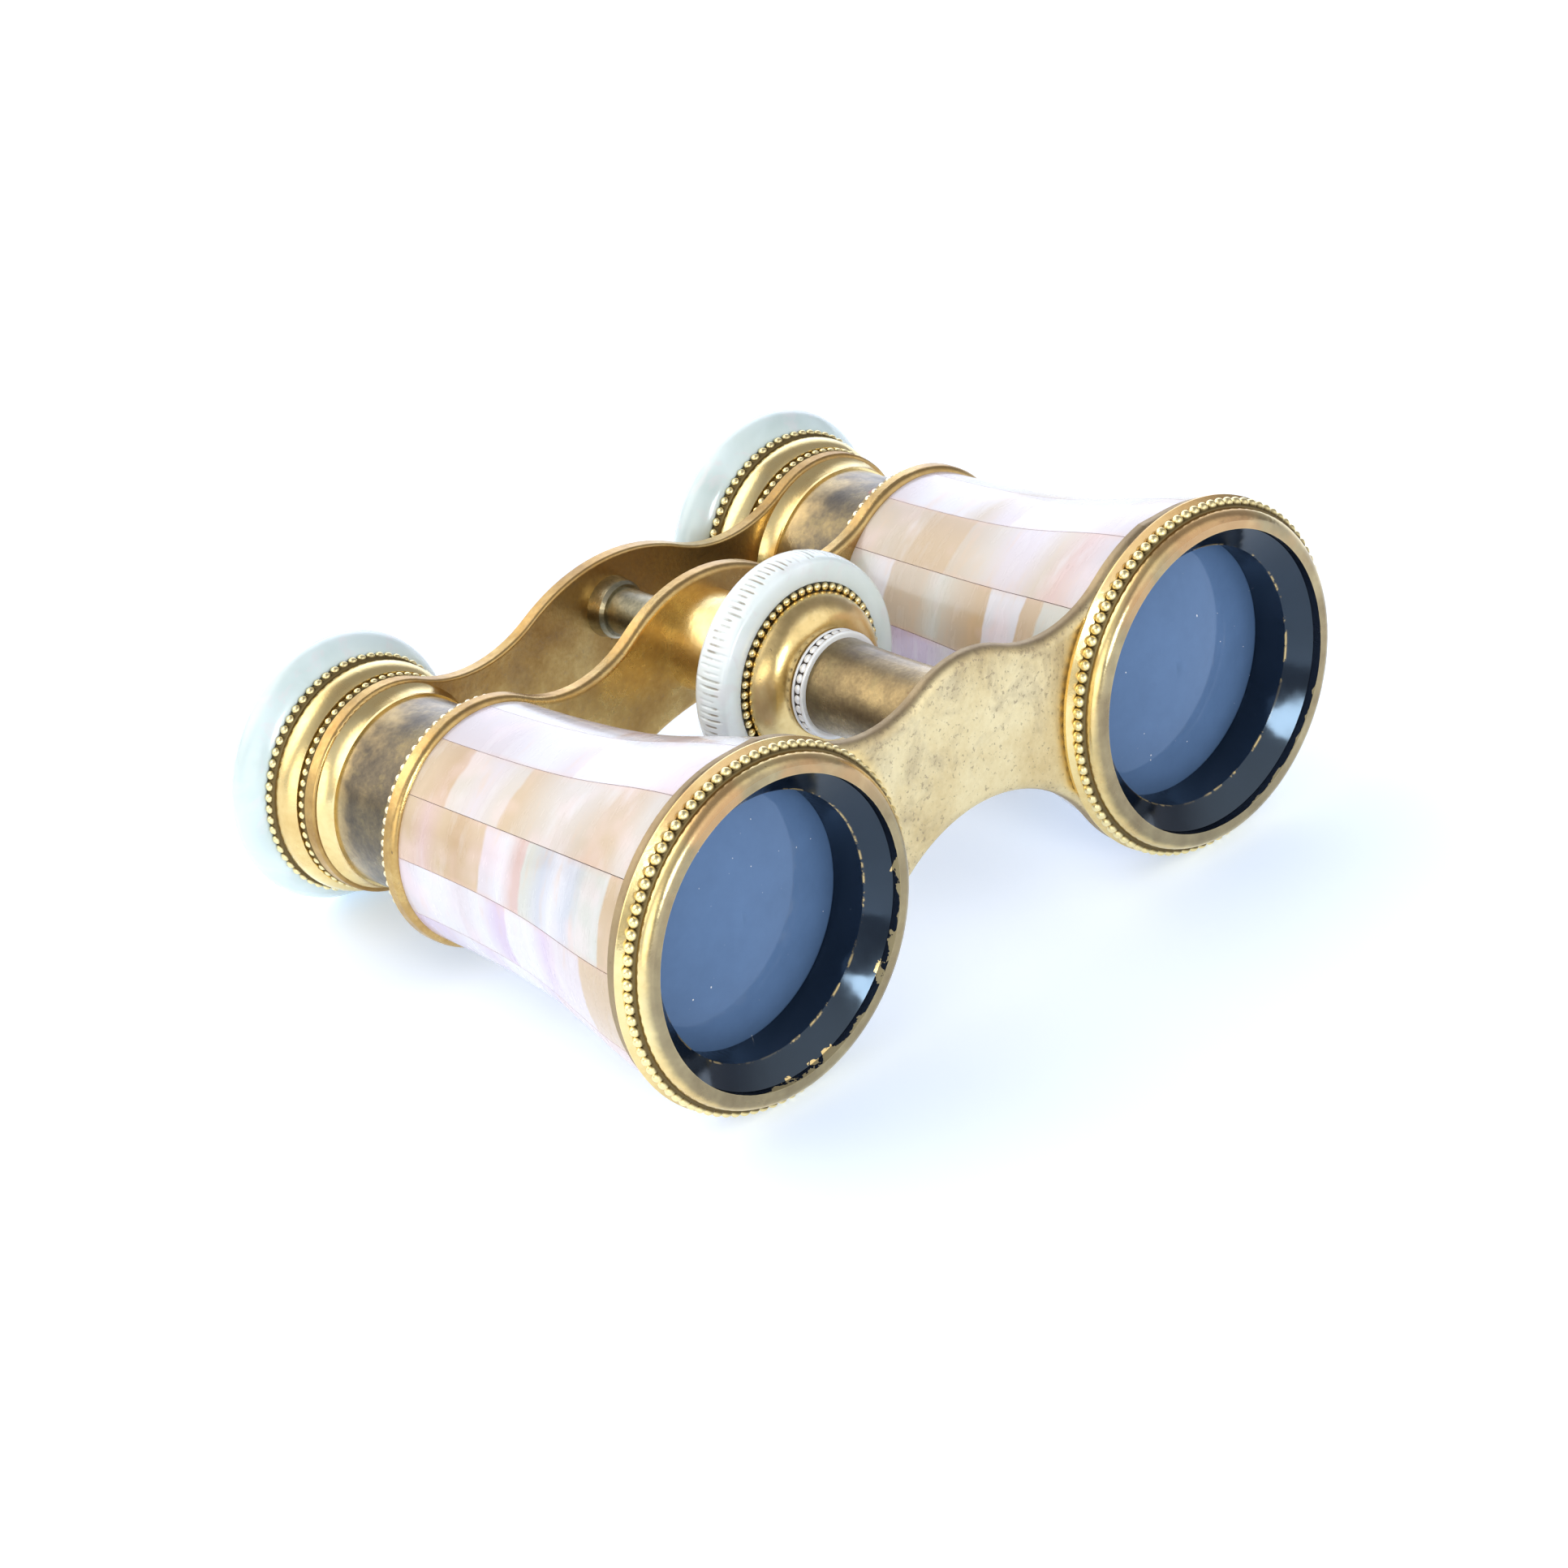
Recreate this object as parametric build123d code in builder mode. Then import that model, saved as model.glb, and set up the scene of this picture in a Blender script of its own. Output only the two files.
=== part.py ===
from build123d import *
import math
import os

# Opera glasses: two pearl-clad telescopes, a centre focus column with a pearl wheel,
# and a sliding eyepiece carriage. Millimetres, +Z up, objectives towards -Y.
# The origin is under the middle of the glasses, level with the objectives' flanges.

# ---- driving dimensions -------------------------------------------------
EYE_SPACING = 62.0  # between the two optical axes
LENGTH = 66.7  # objective rim to the back of the eyecups
FLANGE_R = 18.75  # objectives' widest round, which the glasses rest on in front
COLUMN_RISE = 7.2  # focus column above the optical axes
FIT = 0.05  # radial clearance of sliding, turning and screwed fits

FRONT = -LENGTH / 2  # objective rims; every station is a distance behind them
AXIS_Z = FLANGE_R
SIDES = {"right": -EYE_SPACING / 2, "left": EYE_SPACING / 2}

# bridges: station of the front face, thickness, radius of the rings, rounding of the front edge
FRONT_BRIDGE = 3.4
FRONT_BRIDGE_T = 1.6
FRONT_RING_R = 18.5
FRONT_TRIM_R = 18.1  # the front rings are cut back to this away from the bridge
FRONT_EDGE_R = 1.1
MIDDLE_BRIDGE = 41.4
MIDDLE_BRIDGE_T = 1.6
MIDDLE_RING_R = 13.1
MIDDLE_EDGE_R = 0.7
REAR_BRIDGE = 55.9
REAR_BRIDGE_T = 1.4
REAR_RING_R = 11.2
REAR_EDGE_R = 0.35

# barrels: (station, radius) of the pearl's surface and of the inside
BELL = [(5.0, 17.9), (12.0, 16.5), (20.0, 14.5), (30.0, 13.1), (41.4, 12.5)]
BELL_INSIDE = [(30.0, 11.6), (20.0, 13.0)]
PEARL_T = 0.9
SLATS = 12
SLAT_JOINT = 0.2  # degrees
SLAT_START = {"right": 22, "left": 17}  # degrees
MOUTH_R = 17.0
NECK_R = 11.4
BARREL_WALL = 0.6

# objectives
RIM_R = 15.95  # inside of the rolled rim
RIM_EDGE_R = 16.8  # end of the rim's flat front
RIM_DEPTH = 1.0
ROLL_R = 17.8  # crest of the roll
FLANGE = 3.25  # flange's front edge
FLANGE_FOOT_R = 18.1
SPIGOT_R = 15.0
SPIGOT_BACK = 12.0
LENS_SEAT_R = 13.3
RETAINER_FRONT = 2.8
RETAINER_STEP = 3.0
RETAINER_BACK = 6.9
APERTURE_R = 13.6
LENS_R = 14.2
LENS_FRONT = 7.1
CROWN_EDGE = 1.0
CROWN_FRONT_R = 60.0
CROWN_BACK_R = 48.0
CEMENT = 0.05
FLINT_BACK = 11.2

# eyepieces
TUBE_R = 9.9
TUBE_WALL = 0.6
TUBE_FRONT = 27.0
TUBE_BACK = 59.6
SLEEVE_FRONT = 34.0
STOP_T = 1.2
STOP_R = 10.7
COVE_LENGTH = 1.9
COVE_LIP = 0.3
COVE_LIP_R = 10.15
COVE_R = 10.8
CELL_FRONT = 58.3
CELL_STEP = 61.1
CELL_BACK = 63.9
CELL_SPIGOT_R = 10.6
CELL_SWELL = (59.8, 12.1)  # station and radius of the cell's fullest point
EYECUP_FRONT = 62.1
EYECUP_BROW = [(62.1, 12.3), (63.2, 13.6), (64.6, 14.1), (66.0, 13.5), (66.7, 12.0)]
DISH_MIDDLE = (66.2, 9.0)
DISH_LIP = 0.9
PUPIL_R = 5.6
OCULAR_R = 8.5
OCULAR_SEAT_R = 7.8
OCULAR_RING_R = 7.5
OCULAR_FRONT = 60.6
OCULAR_BACK = 63.4
OCULAR_FRONT_R = 60.0
OCULAR_BACK_R = 28.0

# focus column, wheel and screw
COLUMN_BACK = 21.9
COLUMN_FOOT_R = 5.1
COLUMN_WAIST = (13.0, 4.75)
COLUMN_R = 4.95
JOURNAL_R = 3.5
HUB_FRONT = 23.4
HUB_BORE_R = 4.6
HUB_NOSE_R = 5.7
HUB_DOME = (24.4, 7.9)
HUB_LIP = 0.4
HUB_R = 8.7
WHEEL_FRONT = 26.4
WHEEL_BACK = 30.6
WHEEL_R = 12.3
WHEEL_CROWN = 0.25  # how much lower the rim is at its edges
WHEEL_EDGE = 0.5
WHEEL_BORE_R = 7.9
KNURLS = 84
KNURL_R = 0.3
KNURL_MARGIN = 0.4
PLATE_BACK = 31.2
PLATE_R = 8.8
BOSS_FRONT = 31.35
BOSS_EDGE = 0.5
BOSS_R = 5.4
BOSS_JOURNAL_R = 4.2
NUT_FRONT = 16.0
NUT_BACK = 40.9
ROD_R = 2.5
ROD_FRONT = 15.2
ROD_EDGE = 0.3
ROD_SPIGOT_R = 1.5
FERRULE_R = 3.3
FERRULE_FRONT = 53.9
SCREW_R = 0.8
SCREW_DEPTH = 4.0
SCREW_GAP = 0.2
SCREW_HEAD_R = 2.8
SCREW_RIM = 0.4
SCREW_HEAD_T = 1.3
SLOT_WIDTH = 0.7
SLOT_DEPTH = 0.6
SLOT_TURN = 25  # degrees

# bead rings: front and back stations, seat and crest radii
OBJECTIVE_BEADS = (1.4, 2.7, 17.6, 18.6)
NECK_BEADS = (43.0, 43.8, TUBE_R + FIT, 13.1)
COLLAR_BEADS = (57.3, CELL_FRONT, TUBE_R, 11.5)
EYECUP_BEADS = (CELL_STEP, EYECUP_FRONT, CELL_SPIGOT_R, 12.6)
COLUMN_BEADS = (COLUMN_BACK, 23.25, JOURNAL_R + FIT, 5.6)
WHEEL_BEADS_R = (HUB_R, 9.15, 9.6)  # inside, crest and outside, on the wheel's face
WHEEL_BEADS_RISE = 0.45

FRONT_BRIDGE_BACK = FRONT_BRIDGE + FRONT_BRIDGE_T
MIDDLE_BRIDGE_BACK = MIDDLE_BRIDGE + MIDDLE_BRIDGE_T
REAR_BRIDGE_BACK = REAR_BRIDGE + REAR_BRIDGE_T

os.makedirs("parts", exist_ok=True)


def lengthwise(x, rise=0.0, angle=90.0):
    """Half plane from an axis along Y: local x is the station, local y the radius."""
    turn = math.radians(angle)
    return Plane(
        origin=(x, FRONT, AXIS_Z + rise),
        x_dir=(0, 1, 0),
        z_dir=(math.sin(turn), 0, -math.cos(turn)),
    )


def crosswise(station):
    """Plane across the optical axes, facing the objectives, centred between them."""
    return Plane(origin=(0, FRONT + station, AXIS_Z), x_dir=(1, 0, 0), z_dir=(0, -1, 0))


def axis_at(x, rise=0.0):
    return Axis((x, FRONT, AXIS_Z + rise), (0, -1, 0))


def sag(radius, curvature):
    """Depth of a spherical surface at a radius."""
    return curvature - math.sqrt(curvature**2 - radius**2)


def bell_radius_points(inset):
    """Points of the barrel's flared outline, moved in from the pearl's surface."""
    return [(station, radius - inset) for station, radius in BELL]


def towards(centre, radius, other):
    """Point of a circle on the line to another circle's centre."""
    return centre + (other - centre).normalized() * radius


def draw_half_bridge(ring_r, shoulder_r, dip_z, hump_z, arch_z):
    """Right half of a bridge's outline, as tangent arcs in the open BuildLine.

    A hump over the focus column runs into a hollow shoulder, the shoulder into the
    ring round the barrel, and the ring into the arch below.
    """
    ring = Vector(EYE_SPACING / 2, 0)
    rise = dip_z + shoulder_r
    shoulder = Vector(ring.X - math.sqrt((ring_r + shoulder_r) ** 2 - rise**2), rise)
    drop = rise - hump_z
    hump_r = (shoulder.X**2 + drop**2 - shoulder_r**2) / (2 * (shoulder_r - drop))
    hump = Vector(0, hump_z - hump_r)
    arch_r = (ring.X**2 + arch_z**2 - ring_r**2) / (2 * (ring_r + arch_z))
    arch = Vector(0, arch_z - arch_r)

    hump_end = towards(hump, hump_r, shoulder)
    ring_top = towards(ring, ring_r, shoulder)
    ring_foot = towards(ring, ring_r, arch)
    arch_middle = towards(arch, arch_r, (ring_foot + Vector(0, arch_z)) / 2)
    hump_middle = towards(hump, hump_r, (hump_end + Vector(0, hump_z)) / 2)
    ThreePointArc((0, hump_z), hump_middle, hump_end)
    shoulder_middle = towards(shoulder, shoulder_r, (hump_end + ring_top) / 2)
    ThreePointArc(hump_end, shoulder_middle, ring_top)
    ThreePointArc(ring_top, ring + Vector(ring_r, 0), ring_foot)
    ThreePointArc(ring_foot, arch_middle, (0, arch_z))


def draw_bead_band(front, back, inner_r, outer_r):
    """Section of a beaded ring: a flat band with a round crown, in the open BuildLine."""
    crown = (back - front) / 2
    band = Polyline(
        (front, outer_r - crown),
        (front, inner_r),
        (back, inner_r),
        (back, outer_r - crown),
    )
    ThreePointArc(band @ 1, (front + crown, outer_r), band @ 0)


# ---- front bridge: a ring round each barrel, and the column's foot -------
with BuildPart() as front_bridge:
    with BuildSketch(crosswise(FRONT_BRIDGE_BACK)):
        with BuildLine():
            draw_half_bridge(FRONT_RING_R, shoulder_r=13.5, dip_z=12.4, hump_z=15.4, arch_z=-1.2)
            mirror(about=Plane.YZ)
        make_face()
    extrude(amount=FRONT_BRIDGE_T)
    with BuildSketch(crosswise(FRONT_BRIDGE_BACK)):
        with Locations([(x, 0) for x in SIDES.values()]):
            Circle(FRONT_TRIM_R)
        make_hull()
    extrude(amount=FRONT_BRIDGE_T, mode=Mode.INTERSECT)
    fillet(front_bridge.faces().sort_by(Axis.Y)[0].outer_wire().edges(), FRONT_EDGE_R)
    with BuildSketch(crosswise(FRONT_BRIDGE_BACK)):
        with Locations([(x, 0) for x in SIDES.values()]):
            Circle(MOUTH_R)
    extrude(amount=FRONT_BRIDGE_T, mode=Mode.SUBTRACT)
front_bridge.part.label = "front_bridge"
export_step(front_bridge.part, "parts/front_bridge.step")

# ---- middle bridge: holds the barrels' necks and the wheel's rear boss ---
with BuildPart() as middle_bridge:
    with BuildSketch(crosswise(MIDDLE_BRIDGE_BACK)):
        with BuildLine():
            draw_half_bridge(MIDDLE_RING_R, shoulder_r=13.0, dip_z=9.1, hump_z=14.5, arch_z=0.8)
            mirror(about=Plane.YZ)
        make_face()
    extrude(amount=MIDDLE_BRIDGE_T)
    fillet(middle_bridge.faces().sort_by(Axis.Y)[0].outer_wire().edges(), MIDDLE_EDGE_R)
    with BuildSketch(crosswise(MIDDLE_BRIDGE_BACK)):
        with Locations([(x, 0) for x in SIDES.values()]):
            Circle(NECK_R)
        with Locations((0, COLUMN_RISE)):
            Circle(ROD_R + FIT)
    extrude(amount=MIDDLE_BRIDGE_T, mode=Mode.SUBTRACT)
middle_bridge.part.label = "middle_bridge"
export_step(middle_bridge.part, "parts/middle_bridge.step")

# ---- rear bridge: carries both eyepieces and the focus screw -------------
with BuildPart() as rear_bridge:
    with BuildSketch(crosswise(REAR_BRIDGE_BACK)):
        with BuildLine():
            draw_half_bridge(REAR_RING_R, shoulder_r=15.5, dip_z=7.9, hump_z=12.6, arch_z=1.2)
            mirror(about=Plane.YZ)
        make_face()
    extrude(amount=REAR_BRIDGE_T)
    fillet(rear_bridge.faces().sort_by(Axis.Y)[0].outer_wire().edges(), REAR_EDGE_R)
    with BuildSketch(crosswise(REAR_BRIDGE_BACK)):
        with Locations([(x, 0) for x in SIDES.values()]):
            Circle(TUBE_R)
        with Locations((0, COLUMN_RISE)):
            Circle(ROD_SPIGOT_R)
    extrude(amount=REAR_BRIDGE_T, mode=Mode.SUBTRACT)
rear_bridge.part.label = "rear_bridge"
export_step(rear_bridge.part, "parts/rear_bridge.step")

# ---- the two telescopes --------------------------------------------------
for side, x in SIDES.items():
    # brass barrel: mouth in the front bridge, flared body, neck in the middle bridge
    with BuildPart() as barrel_tube:
        with BuildSketch(lengthwise(x)):
            with BuildLine():
                outside = Spline(*bell_radius_points(PEARL_T))
                Polyline(
                    outside @ 1,
                    (MIDDLE_BRIDGE, NECK_R),
                    (MIDDLE_BRIDGE_BACK, NECK_R),
                    (MIDDLE_BRIDGE_BACK, NECK_R - BARREL_WALL),
                    (MIDDLE_BRIDGE - BARREL_WALL, NECK_R - BARREL_WALL),
                )
                inside = Spline(
                    (MIDDLE_BRIDGE - BARREL_WALL, NECK_R - BARREL_WALL),
                    *BELL_INSIDE,
                    (SPIGOT_BACK, SPIGOT_R + FIT),
                )
                Polyline(
                    inside @ 1,
                    (FRONT_BRIDGE, SPIGOT_R + FIT),
                    (FRONT_BRIDGE, MOUTH_R),
                    outside @ 0,
                )
            make_face()
        revolve(axis=axis_at(x))
    barrel_tube.part.label = f"barrel_tube_{side}"
    export_step(barrel_tube.part, f"parts/barrel_tube_{side}.step")

    # pearl slats, cemented side by side round the barrel
    pitch = 360 / SLATS
    with BuildPart() as pearl_slats:
        for slat in range(SLATS):
            with BuildSketch(lengthwise(x, angle=SLAT_START[side] + slat * pitch)):
                with BuildLine():
                    skin = Spline(*bell_radius_points(0))
                    bed = Spline(*bell_radius_points(PEARL_T))
                    Line(skin @ 0, bed @ 0)
                    Line(skin @ 1, bed @ 1)
                make_face()
            revolve(axis=axis_at(x), revolution_arc=pitch - SLAT_JOINT)
    pearl_slats.part.label = f"pearl_slats_{side}"
    export_step(pearl_slats.part, f"parts/pearl_slats_{side}.step")

    # gilt bezel: rolled rim, bead seat, flange, and the lens cell behind them
    beads_front, beads_back, bead_seat_r, _ = OBJECTIVE_BEADS
    with BuildPart() as objective_bezel:
        with BuildSketch(lengthwise(x)):
            with BuildLine():
                rim = Polyline((RETAINER_STEP, RIM_R), (0, RIM_R), (0, RIM_EDGE_R))
                roll_middle = (beads_front * 0.35, ROLL_R - 0.25)
                roll = ThreePointArc(rim @ 1, roll_middle, (beads_front, ROLL_R))
                Polyline(
                    roll @ 1,
                    (beads_front, bead_seat_r),
                    (beads_back, bead_seat_r),
                    (beads_back, FLANGE_FOOT_R),
                    (FLANGE, FLANGE_R),
                    (FRONT_BRIDGE, FLANGE_R),
                    (FRONT_BRIDGE, SPIGOT_R),
                    (SPIGOT_BACK, SPIGOT_R),
                    (SPIGOT_BACK, LENS_SEAT_R),
                    (FLINT_BACK, LENS_SEAT_R),
                    (FLINT_BACK, LENS_R + FIT),
                    (RETAINER_STEP, LENS_R + FIT),
                    rim @ 0,
                )
            make_face()
        revolve(axis=axis_at(x))
    objective_bezel.part.label = f"objective_bezel_{side}"
    export_step(objective_bezel.part, f"parts/objective_bezel_{side}.step")

    with BuildPart() as objective_bead_ring:
        with BuildSketch(lengthwise(x)):
            with BuildLine():
                draw_bead_band(*OBJECTIVE_BEADS)
            make_face()
        revolve(axis=axis_at(x))
    objective_bead_ring.part.label = f"objective_bead_ring_{side}"
    export_step(objective_bead_ring.part, f"parts/objective_bead_ring_{side}.step")

    # blackened ring screwed into the bezel; its cone leads to the lens
    with BuildPart() as objective_retainer:
        with BuildSketch(lengthwise(x)):
            with BuildLine():
                Polyline(
                    (RIM_DEPTH, RIM_R - FIT),
                    (RETAINER_FRONT, APERTURE_R),
                    (RETAINER_BACK, APERTURE_R),
                    (RETAINER_BACK, LENS_R),
                    (RETAINER_STEP, LENS_R),
                    (RETAINER_STEP, RIM_R - FIT),
                    close=True,
                )
            make_face()
        revolve(axis=axis_at(x))
    objective_retainer.part.label = f"objective_retainer_{side}"
    export_step(objective_retainer.part, f"parts/objective_retainer_{side}.step")

    # cemented doublet: a double-convex crown in front of a plano-concave flint,
    # with a film of cement between them
    crown_back = LENS_FRONT + CROWN_EDGE
    front_vertex = LENS_FRONT - sag(LENS_R, CROWN_FRONT_R)
    joint_vertex = crown_back + sag(LENS_R, CROWN_BACK_R)
    half_r = LENS_R / 2
    with BuildPart() as objective_crown:
        with BuildSketch(lengthwise(x)):
            with BuildLine():
                ThreePointArc(
                    (front_vertex, 0),
                    (front_vertex + sag(half_r, CROWN_FRONT_R), half_r),
                    (LENS_FRONT, LENS_R),
                )
                Line((LENS_FRONT, LENS_R), (crown_back, LENS_R))
                ThreePointArc(
                    (crown_back, LENS_R),
                    (joint_vertex - sag(half_r, CROWN_BACK_R), half_r),
                    (joint_vertex, 0),
                )
                Line((joint_vertex, 0), (front_vertex, 0))
            make_face()
        revolve(axis=axis_at(x))
    objective_crown.part.label = f"objective_crown_{side}"
    export_step(objective_crown.part, f"parts/objective_crown_{side}.step")

    with BuildPart() as objective_flint:
        with BuildSketch(lengthwise(x)):
            with BuildLine():
                hollow = ThreePointArc(
                    (crown_back + CEMENT, LENS_R),
                    (joint_vertex + CEMENT - sag(half_r, CROWN_BACK_R), half_r),
                    (joint_vertex + CEMENT, 0),
                )
                Polyline(hollow @ 1, (FLINT_BACK, 0), (FLINT_BACK, LENS_R), hollow @ 0)
            make_face()
        revolve(axis=axis_at(x))
    objective_flint.part.label = f"objective_flint_{side}"
    export_step(objective_flint.part, f"parts/objective_flint_{side}.step")

    # sleeve in the barrel's neck that the draw tube slides through
    with BuildPart() as guide_sleeve:
        with BuildSketch(crosswise(MIDDLE_BRIDGE_BACK)):
            with Locations((x, 0)):
                Circle(NECK_R - BARREL_WALL)
                Circle(TUBE_R + FIT, mode=Mode.SUBTRACT)
        extrude(amount=MIDDLE_BRIDGE_BACK - SLEEVE_FRONT)
    guide_sleeve.part.label = f"guide_sleeve_{side}"
    export_step(guide_sleeve.part, f"parts/guide_sleeve_{side}.step")

    with BuildPart() as neck_bead_ring:
        with BuildSketch(lengthwise(x)):
            with BuildLine():
                draw_bead_band(*NECK_BEADS)
            make_face()
        revolve(axis=axis_at(x))
    neck_bead_ring.part.label = f"neck_bead_ring_{side}"
    export_step(neck_bead_ring.part, f"parts/neck_bead_ring_{side}.step")

    # draw tube, with a ring at its inner end that stops it at the sleeve
    with BuildPart() as draw_tube:
        with BuildSketch(crosswise(TUBE_BACK)):
            with Locations((x, 0)):
                Circle(TUBE_R)
                Circle(TUBE_R - TUBE_WALL, mode=Mode.SUBTRACT)
        extrude(amount=TUBE_BACK - TUBE_FRONT)
    draw_tube.part.label = f"draw_tube_{side}"
    export_step(draw_tube.part, f"parts/draw_tube_{side}.step")

    with BuildPart() as stop_ring:
        with BuildSketch(crosswise(TUBE_FRONT + STOP_T)):
            with Locations((x, 0)):
                Circle(STOP_R)
                Circle(TUBE_R, mode=Mode.SUBTRACT)
        extrude(amount=STOP_T)
    stop_ring.part.label = f"stop_ring_{side}"
    export_step(stop_ring.part, f"parts/stop_ring_{side}.step")

    # coved collar in front of the rear bridge
    with BuildPart() as tube_collar:
        with BuildSketch(lengthwise(x)):
            with BuildLine():
                step = Polyline(
                    (REAR_BRIDGE, TUBE_R),
                    (REAR_BRIDGE - COVE_LENGTH, TUBE_R),
                    (REAR_BRIDGE - COVE_LENGTH, COVE_LIP_R),
                    (REAR_BRIDGE - COVE_LENGTH + COVE_LIP, COVE_LIP_R),
                )
                cove_middle = (REAR_BRIDGE - 0.7, COVE_LIP_R + 0.25)
                cove = ThreePointArc(step @ 1, cove_middle, (REAR_BRIDGE, COVE_R))
                Line(cove @ 1, step @ 0)
            make_face()
        revolve(axis=axis_at(x))
    tube_collar.part.label = f"tube_collar_{side}"
    export_step(tube_collar.part, f"parts/tube_collar_{side}.step")

    with BuildPart() as collar_bead_ring:
        with BuildSketch(lengthwise(x)):
            with BuildLine():
                draw_bead_band(*COLLAR_BEADS)
            make_face()
        revolve(axis=axis_at(x))
    collar_bead_ring.part.label = f"collar_bead_ring_{side}"
    export_step(collar_bead_ring.part, f"parts/collar_bead_ring_{side}.step")

    # gilt eyepiece cell: seat for the eye lens, and a threaded nose for the eyecup
    with BuildPart() as eyepiece_cell:
        with BuildSketch(lengthwise(x)):
            with BuildLine():
                swell = ThreePointArc((CELL_FRONT, 11.4), CELL_SWELL, (CELL_STEP, 11.9))
                Polyline(
                    swell @ 1,
                    (CELL_STEP, CELL_SPIGOT_R),
                    (CELL_BACK, CELL_SPIGOT_R),
                    (CELL_BACK, OCULAR_R + FIT),
                    (OCULAR_FRONT, OCULAR_R + FIT),
                    (OCULAR_FRONT, OCULAR_SEAT_R),
                    (TUBE_BACK, OCULAR_SEAT_R),
                    (TUBE_BACK, TUBE_R),
                    (CELL_FRONT, TUBE_R),
                    swell @ 0,
                )
            make_face()
        revolve(axis=axis_at(x))
    eyepiece_cell.part.label = f"eyepiece_cell_{side}"
    export_step(eyepiece_cell.part, f"parts/eyepiece_cell_{side}.step")

    with BuildPart() as eyecup_bead_ring:
        with BuildSketch(lengthwise(x)):
            with BuildLine():
                draw_bead_band(*EYECUP_BEADS)
            make_face()
        revolve(axis=axis_at(x))
    eyecup_bead_ring.part.label = f"eyecup_bead_ring_{side}"
    export_step(eyecup_bead_ring.part, f"parts/eyecup_bead_ring_{side}.step")

    # negative eye lens, hollow on both faces
    ocular_front_vertex = OCULAR_FRONT + sag(OCULAR_R, OCULAR_FRONT_R)
    ocular_back_vertex = OCULAR_BACK - sag(OCULAR_R, OCULAR_BACK_R)
    half_ocular = OCULAR_R / 2
    with BuildPart() as ocular_lens:
        with BuildSketch(lengthwise(x)):
            with BuildLine():
                ThreePointArc(
                    (ocular_front_vertex, 0),
                    (ocular_front_vertex - sag(half_ocular, OCULAR_FRONT_R), half_ocular),
                    (OCULAR_FRONT, OCULAR_R),
                )
                Line((OCULAR_FRONT, OCULAR_R), (OCULAR_BACK, OCULAR_R))
                ThreePointArc(
                    (OCULAR_BACK, OCULAR_R),
                    (ocular_back_vertex + sag(half_ocular, OCULAR_BACK_R), half_ocular),
                    (ocular_back_vertex, 0),
                )
                Line((ocular_back_vertex, 0), (ocular_front_vertex, 0))
            make_face()
        revolve(axis=axis_at(x))
    ocular_lens.part.label = f"ocular_lens_{side}"
    export_step(ocular_lens.part, f"parts/ocular_lens_{side}.step")

    with BuildPart() as ocular_retainer:
        with BuildSketch(crosswise(CELL_BACK)):
            with Locations((x, 0)):
                Circle(OCULAR_R)
                Circle(OCULAR_RING_R, mode=Mode.SUBTRACT)
        extrude(amount=CELL_BACK - OCULAR_BACK)
    ocular_retainer.part.label = f"ocular_retainer_{side}"
    export_step(ocular_retainer.part, f"parts/ocular_retainer_{side}.step")

    # turned pearl eyecup with a dished face
    with BuildPart() as eyecup:
        with BuildSketch(lengthwise(x)):
            with BuildLine():
                brow = Spline(*EYECUP_BROW)
                dish = ThreePointArc(brow @ 1, DISH_MIDDLE, (CELL_BACK + DISH_LIP, PUPIL_R))
                Polyline(
                    dish @ 1,
                    (CELL_BACK, PUPIL_R),
                    (CELL_BACK, CELL_SPIGOT_R),
                    (EYECUP_FRONT, CELL_SPIGOT_R),
                    brow @ 0,
                )
            make_face()
        revolve(axis=axis_at(x))
    eyecup.part.label = f"eyecup_{side}"
    export_step(eyecup.part, f"parts/eyecup_{side}.step")

# ---- focus column, fixed to the front bridge -----------------------------
with BuildPart() as column_tube:
    with BuildSketch(lengthwise(0, COLUMN_RISE)):
        with BuildLine():
            waist = Spline((FRONT_BRIDGE_BACK, COLUMN_FOOT_R), COLUMN_WAIST, (COLUMN_BACK, COLUMN_R))
            Polyline(
                waist @ 1,
                (COLUMN_BACK, JOURNAL_R + FIT),
                (FRONT_BRIDGE_BACK, JOURNAL_R + FIT),
                waist @ 0,
            )
        make_face()
    revolve(axis=axis_at(0, COLUMN_RISE))
column_tube.part.label = "column_tube"
export_step(column_tube.part, "parts/column_tube.step")

with BuildPart() as column_bead_ring:
    with BuildSketch(lengthwise(0, COLUMN_RISE)):
        with BuildLine():
            draw_bead_band(*COLUMN_BEADS)
        make_face()
    revolve(axis=axis_at(0, COLUMN_RISE))
column_bead_ring.part.label = "column_bead_ring"
export_step(column_bead_ring.part, "parts/column_bead_ring.step")

# ---- boss on the middle bridge that carries the wheel's rear journal -----
with BuildPart() as column_boss:
    with BuildSketch(lengthwise(0, COLUMN_RISE)):
        with BuildLine():
            Polyline(
                (BOSS_FRONT, BOSS_JOURNAL_R + FIT),
                (MIDDLE_BRIDGE, BOSS_JOURNAL_R + FIT),
                (MIDDLE_BRIDGE, BOSS_R),
                (BOSS_FRONT + BOSS_EDGE, BOSS_R),
                (BOSS_FRONT, BOSS_R - BOSS_EDGE),
                close=True,
            )
        make_face()
    revolve(axis=axis_at(0, COLUMN_RISE))
column_boss.part.label = "column_boss"
export_step(column_boss.part, "parts/column_boss.step")

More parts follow.
